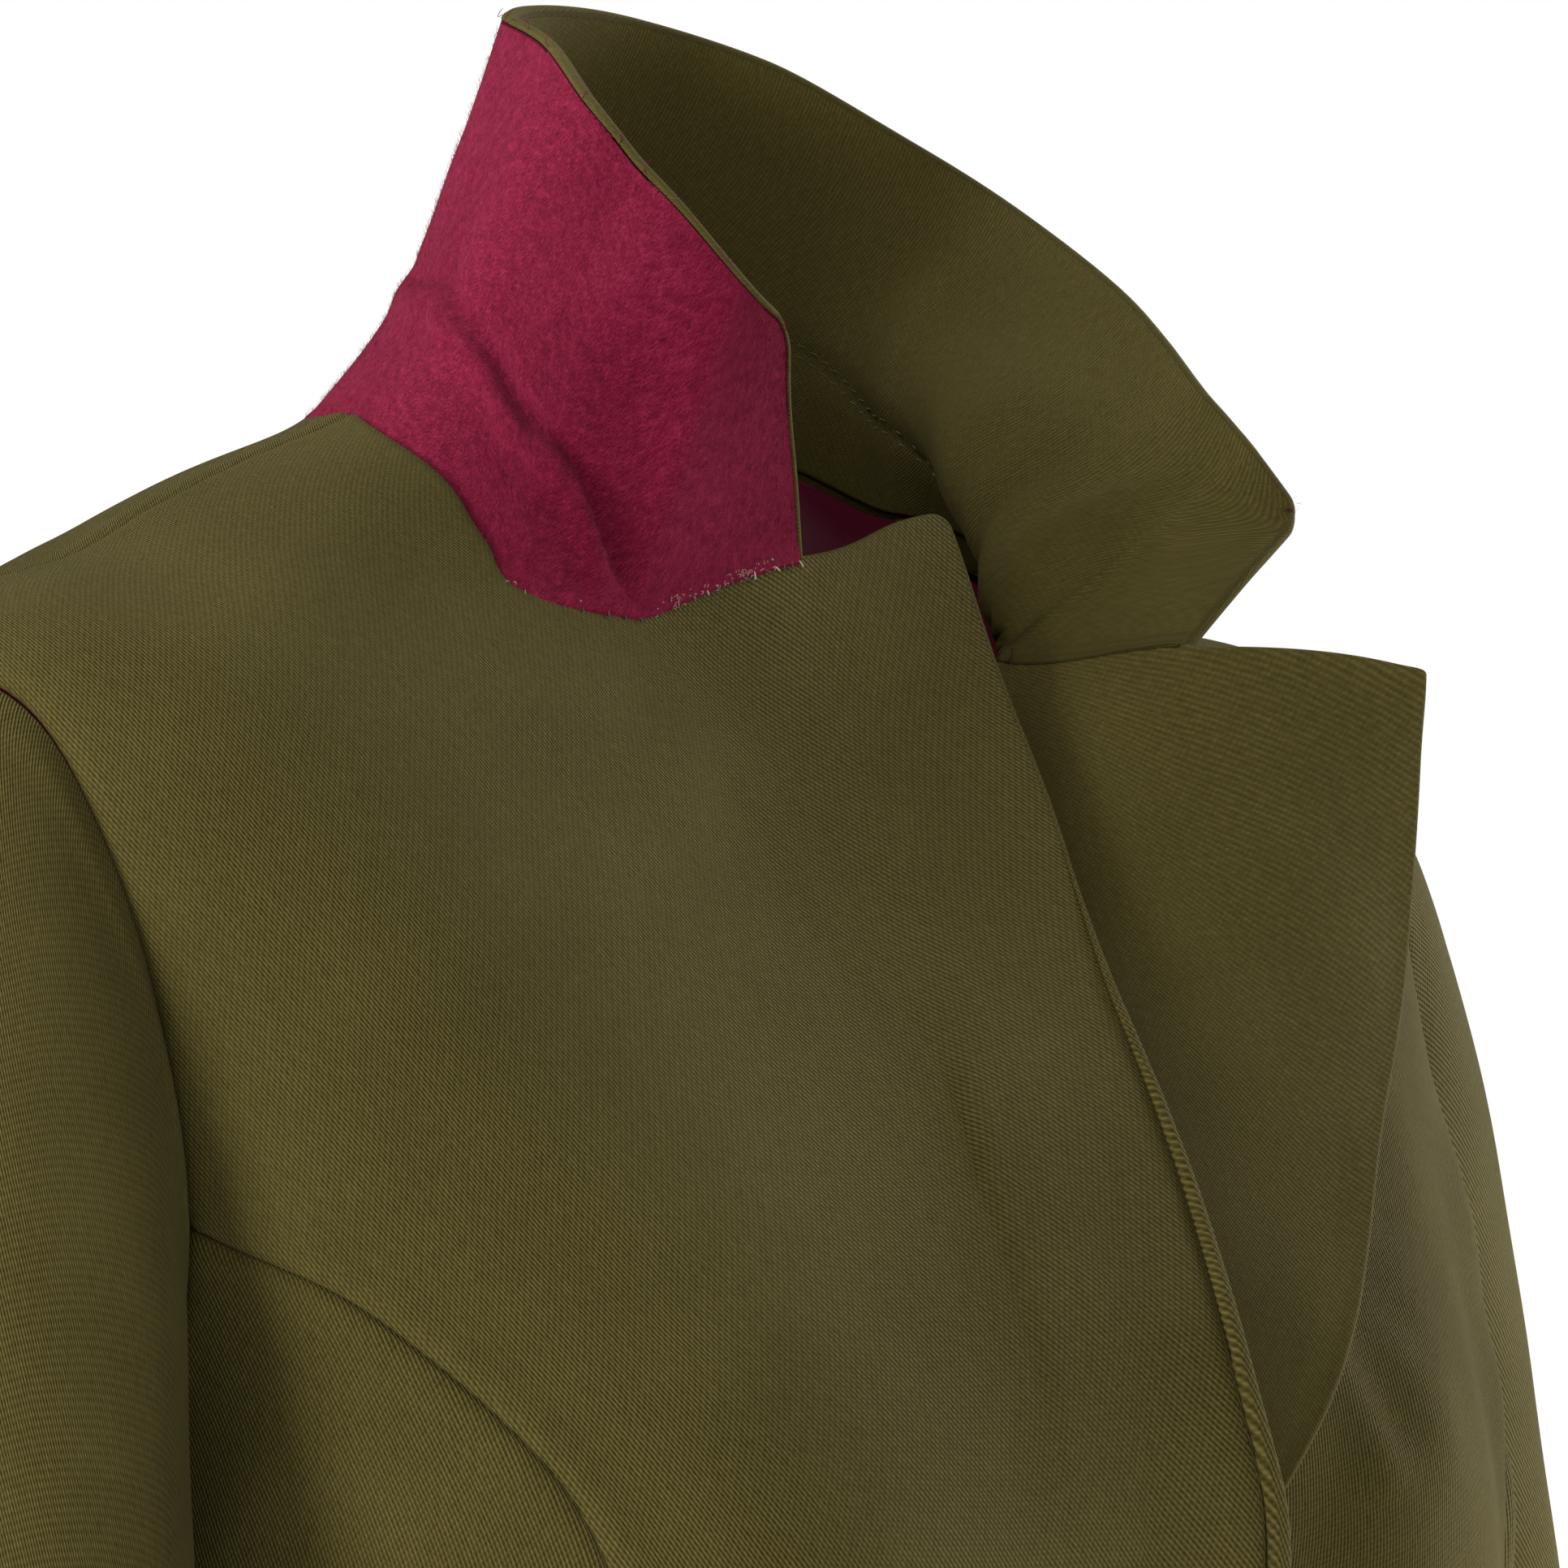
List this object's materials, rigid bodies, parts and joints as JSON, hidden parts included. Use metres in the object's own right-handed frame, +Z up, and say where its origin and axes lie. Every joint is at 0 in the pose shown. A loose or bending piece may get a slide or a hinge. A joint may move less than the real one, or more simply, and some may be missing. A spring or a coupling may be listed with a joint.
{
  "type": "blazer",
  "caption": "Fitted single-breasted blazer in cotton twill, worn open at the neck, with its collar turned up to show a felt under collar.",
  "frame": {"origin": "middle of the base of the neck, between the two points where a shoulder seam meets the collar", "axes": "+X to the wearer's left, +Y to the back, +Z up"},
  "size_m": [0.4934, 0.2619, 0.7041],
  "materials": {
    "twill": "matt cotton twill, olive",
    "felt": "brushed wool felt, crimson",
    "lining": "satin lining, dark crimson",
    "button": "dark horn-like button"
  },
  "bodies": {
    "root": {"right_front": "twill", "right_side_front": "twill", "left_front": "twill", "left_side_front": "twill", "left_lapel": "twill", "right_back": "twill", "left_back": "twill", "back_lining": "lining", "under_collar": "felt", "upper_collar": "twill", "right_upper_sleeve": "twill", "right_under_sleeve": "twill", "left_upper_sleeve": "twill", "left_under_sleeve": "twill", "upper_button": "button", "lower_button": "button"}
  },
  "joints": []
}
